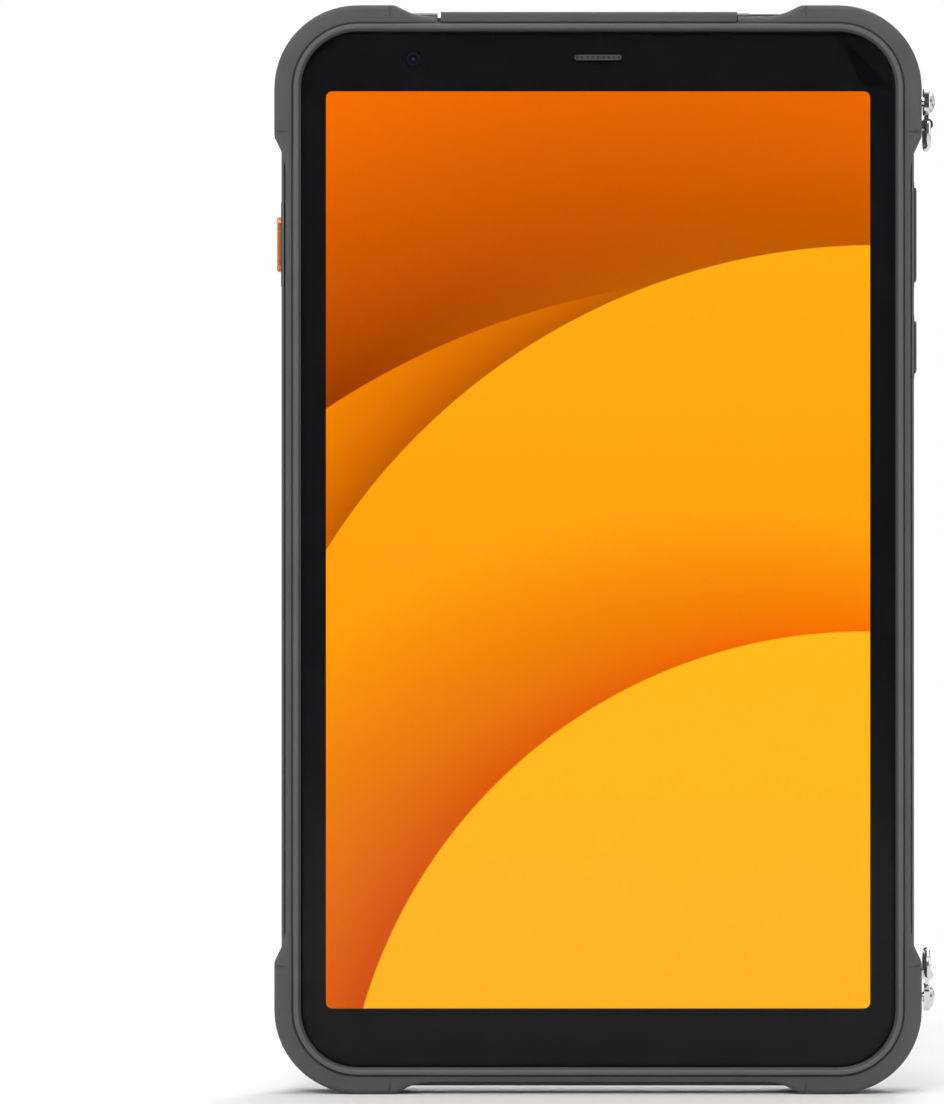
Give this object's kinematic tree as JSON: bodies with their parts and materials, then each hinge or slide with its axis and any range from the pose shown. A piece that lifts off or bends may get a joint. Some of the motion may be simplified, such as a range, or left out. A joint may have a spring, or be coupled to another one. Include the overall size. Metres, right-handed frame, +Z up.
{
  "type": "rugged tablet data collector",
  "caption": "Rugged handheld field data collector: upright tablet with corner bumpers, ribbed grip back, side keys, hinged port cover and strap lugs with D-rings.",
  "frame": {"origin": "bottom centre of the collector's bounding box, strap lugs included; it stands on its two lower corner bumpers", "axes": "+X to the right seen from the screen side, +Y out of the back, +Z up"},
  "size_m": [0.1269, 0.0156, 0.2084],
  "materials": {
    "glass": "polished clear cover glass",
    "black_ink": "printed black border",
    "black_foam": "soft black seal",
    "screen": "lit screen",
    "bezel_rubber": "satin dark grey moulded lip",
    "bumper_rubber": "matte dark grey bumper",
    "steel": "plain steel",
    "dark_plastic": "black moulded plastic",
    "rail_metal": "anodised dark grey",
    "rear_plastic": "fine textured dark grey",
    "black_glass": "polished black",
    "lens": "coated lens",
    "lamp": "clear diffuser",
    "board": "green solder mask",
    "battery_wrap": "black foil",
    "ceramic": "ceramic patch",
    "flex": "amber flexible circuit",
    "key_plastic": "satin dark grey keys",
    "orange_key": "anodised orange",
    "brass": "machined",
    "chrome": "polished",
    "grip_rubber": "dotted black grip rubber"
  },
  "bodies": {
    "case": {"front_glass": "glass", "display_mask": "black_ink", "display_tape": "black_foam", "display_panel": "screen", "front_bezel": "bezel_rubber", "front_frame": "bumper_rubber", "earpiece_mesh": "steel", "earpiece": "dark_plastic", "front_camera": "dark_plastic", "mid_frame": "rail_metal", "rear_surround": "bumper_rubber", "case_screws": "steel", "rear_gasket": "black_foam", "rear_cover": "rear_plastic", "grip_strip_1": "grip_rubber", "grip_strip_2": "grip_rubber", "grip_strip_3": "grip_rubber", "grip_strip_4": "grip_rubber", "grip_strip_5": "grip_rubber", "grip_strip_6": "grip_rubber", "grip_strip_7": "grip_rubber", "grip_strip_8": "grip_rubber", "camera_plate": "rear_plastic", "camera_window": "black_glass", "camera_rings": "dark_plastic", "camera_lens": "lens", "torch_lamp": "lamp", "flash_lens": "lamp", "rear_camera": "dark_plastic", "flash_board": "board", "main_board": "board", "board_screws": "steel", "shield_cans": "steel", "battery": "battery_wrap", "sub_board": "board", "loudspeaker": "dark_plastic", "speaker_mesh": "steel", "vibration_motor": "steel", "gnss_antenna": "ceramic", "display_flex": "flex", "usb_c_port": "steel", "audio_jack": "dark_plastic", "card_reader": "steel", "port_cover_pin": "steel", "volume_seal": "black_foam", "power_seal": "black_foam", "custom_seal": "black_foam", "key_boards": "board", "key_switches": "dark_plastic", "lug_inserts": "brass", "lug_screws": "chrome"},
    "port_cover": {"port_cover": "bumper_rubber", "port_pad": "black_foam"},
    "volume_rocker": {"volume_rocker": "key_plastic"},
    "power_key": {"power_key": "key_plastic"},
    "custom_key": {"custom_key": "orange_key"},
    "strap_lug_top": {"strap_lug_top": "chrome"},
    "strap_lug_bottom": {"strap_lug_bottom": "chrome"},
    "strap_ring_top": {"strap_ring_top": "chrome"},
    "strap_ring_bottom": {"strap_ring_bottom": "chrome"}
  },
  "joints": [
    {"name": "port_cover_hinge", "type": "hinge", "parent": "case", "child": "port_cover", "pos_m": [-0.03405, -0.0005, 0.2054], "axis": [0, -1, 0], "range_deg": [0, 100]},
    {"name": "volume_rocker_tilt", "type": "hinge", "parent": "case", "child": "volume_rocker", "pos_m": [0.05735, -0.0005, 0.1647], "axis": [0, 1, 0], "range_deg": [-1.5, 1.5], "stiffness_Nm_per_rad": 0.2},
    {"name": "power_key_press", "type": "slide", "parent": "case", "child": "power_key", "axis": [-1, 0, 0], "range_m": [0, 0.0003], "stiffness_N_per_m": 800},
    {"name": "custom_key_press", "type": "slide", "parent": "case", "child": "custom_key", "axis": [1, 0, 0], "range_m": [0, 0.0003], "stiffness_N_per_m": 800},
    {"name": "strap_lug_top_swivel", "type": "hinge", "parent": "case", "child": "strap_lug_top", "pos_m": [0.06182, -0.0005, 0.19025], "axis": [1, 0, 0], "continuous": true},
    {"name": "strap_lug_bottom_swivel", "type": "hinge", "parent": "case", "child": "strap_lug_bottom", "pos_m": [0.06182, -0.0005, 0.01815], "axis": [1, 0, 0], "continuous": true},
    {"name": "strap_ring_top_swing", "type": "hinge", "parent": "strap_lug_top", "child": "strap_ring_top", "pos_m": [0.06182, -0.0005, 0.18585], "axis": [0, -1, 0], "range_deg": [0, 140]},
    {"name": "strap_ring_bottom_swing", "type": "hinge", "parent": "strap_lug_bottom", "child": "strap_ring_bottom", "pos_m": [0.06182, -0.0005, 0.02255], "axis": [0, 1, 0], "range_deg": [0, 140]}
  ]
}
